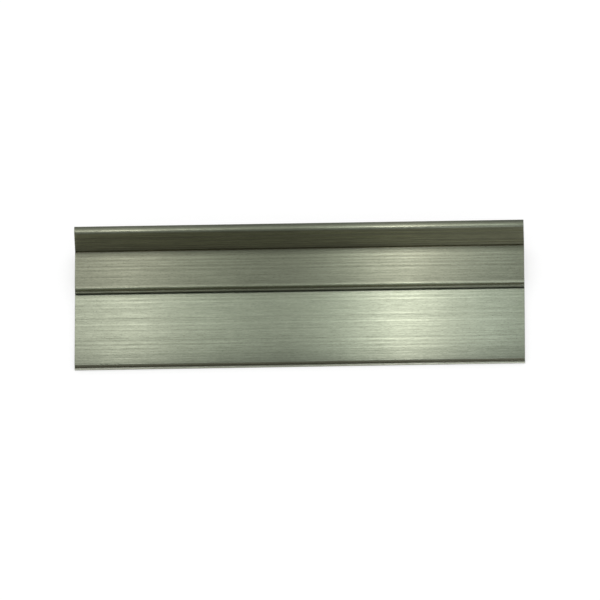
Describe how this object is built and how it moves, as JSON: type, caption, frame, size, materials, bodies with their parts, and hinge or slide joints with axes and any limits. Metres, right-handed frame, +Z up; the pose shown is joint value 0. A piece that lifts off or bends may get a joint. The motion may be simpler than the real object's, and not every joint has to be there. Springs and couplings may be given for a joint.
{
  "type": "cabinet handle profile",
  "caption": "Extruded aluminium edge handle for a cabinet front: a flat mounting plate, a raised shelf with an undercut nose, and an upstanding grip flange.",
  "frame": {"origin": "on the floor under the middle of the bar, at the centre of its width", "axes": "+X along the bar, +Y from the plate's free edge to the grip flange, +Z up from the mounting plate's underside"},
  "size_m": [0.12, 0.0406, 0.0121],
  "materials": {
    "anodised_aluminium": "brushed along its length and anodised a greenish champagne grey"
  },
  "bodies": {
    "root": {"handle_profile": "anodised_aluminium"}
  },
  "joints": []
}
